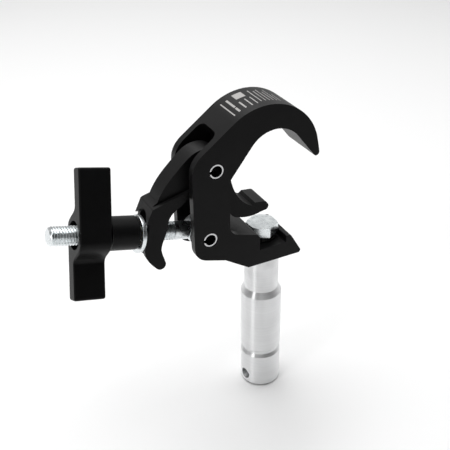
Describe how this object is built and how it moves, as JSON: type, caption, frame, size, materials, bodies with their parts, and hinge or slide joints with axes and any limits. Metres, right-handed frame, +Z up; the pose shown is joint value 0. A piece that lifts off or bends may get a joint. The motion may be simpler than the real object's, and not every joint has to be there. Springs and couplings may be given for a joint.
{
  "type": "trigger clamp with spigot",
  "caption": "Slim hook clamp for round lighting tubes: a trigger lever, swing screw and T handle close its jaw, and a turned spigot hangs below its foot.",
  "frame": {"origin": "centre of the spigot's lower end face", "axes": "+Z up along the spigot; +X from the T handle towards the hook's mouth; +Y along the extrusion, which is the direction of the tube that the clamp hangs on"},
  "size_m": [0.1772, 0.031, 0.2247],
  "materials": {
    "black_coat": "satin black coating on aluminium alloy",
    "black_plastic": "satin moulded nylon",
    "zinc_plate": "bright zinc plating",
    "dark_steel": "black oxide",
    "spring_steel": "plain spring steel",
    "brass": "turned",
    "turned_aluminium": "bright turned"
  },
  "bodies": {
    "body": {"hook_body": "black_coat", "lever_pin": "spring_steel", "eye_bolt_pin": "spring_steel", "spigot_bolt": "zinc_plate", "lock_washer": "dark_steel", "flat_washer": "dark_steel", "spigot": "turned_aluminium"},
    "trigger": {"trigger_lever": "black_coat"},
    "screw": {"eye_bolt": "zinc_plate"},
    "washer": {"thrust_washer": "zinc_plate"},
    "handle": {"t_handle": "black_plastic", "handle_insert": "brass"}
  },
  "joints": [
    {"name": "lever_pivot", "type": "hinge", "parent": "body", "child": "trigger", "pos_m": [-0.0405, 0, 0.1887], "axis": [0, -1, 0], "range_deg": [-12, 3.6]},
    {"name": "screw_swing", "type": "hinge", "parent": "body", "child": "screw", "pos_m": [-0.0457, 0, 0.1415], "axis": [0, -1, 0], "range_deg": [0, 90]},
    {"name": "handle_travel", "type": "slide", "parent": "screw", "child": "washer", "axis": [-0.9724, 0, 0.2334], "range_m": [-0.0029, 0.00985]},
    {"name": "handle_turn", "type": "hinge", "parent": "washer", "child": "handle", "pos_m": [-0.0457, 0, 0.1415], "axis": [-0.9724, 0, 0.2334], "range_deg": [-600, 2030]}
  ],
  "couplings": [
    {"joint": "handle_turn", "follows": "handle_travel", "rad_per_m": 3590.4},
    {"joint": "lever_pivot", "follows": "handle_travel", "rad_per_m": -21.053}
  ]
}
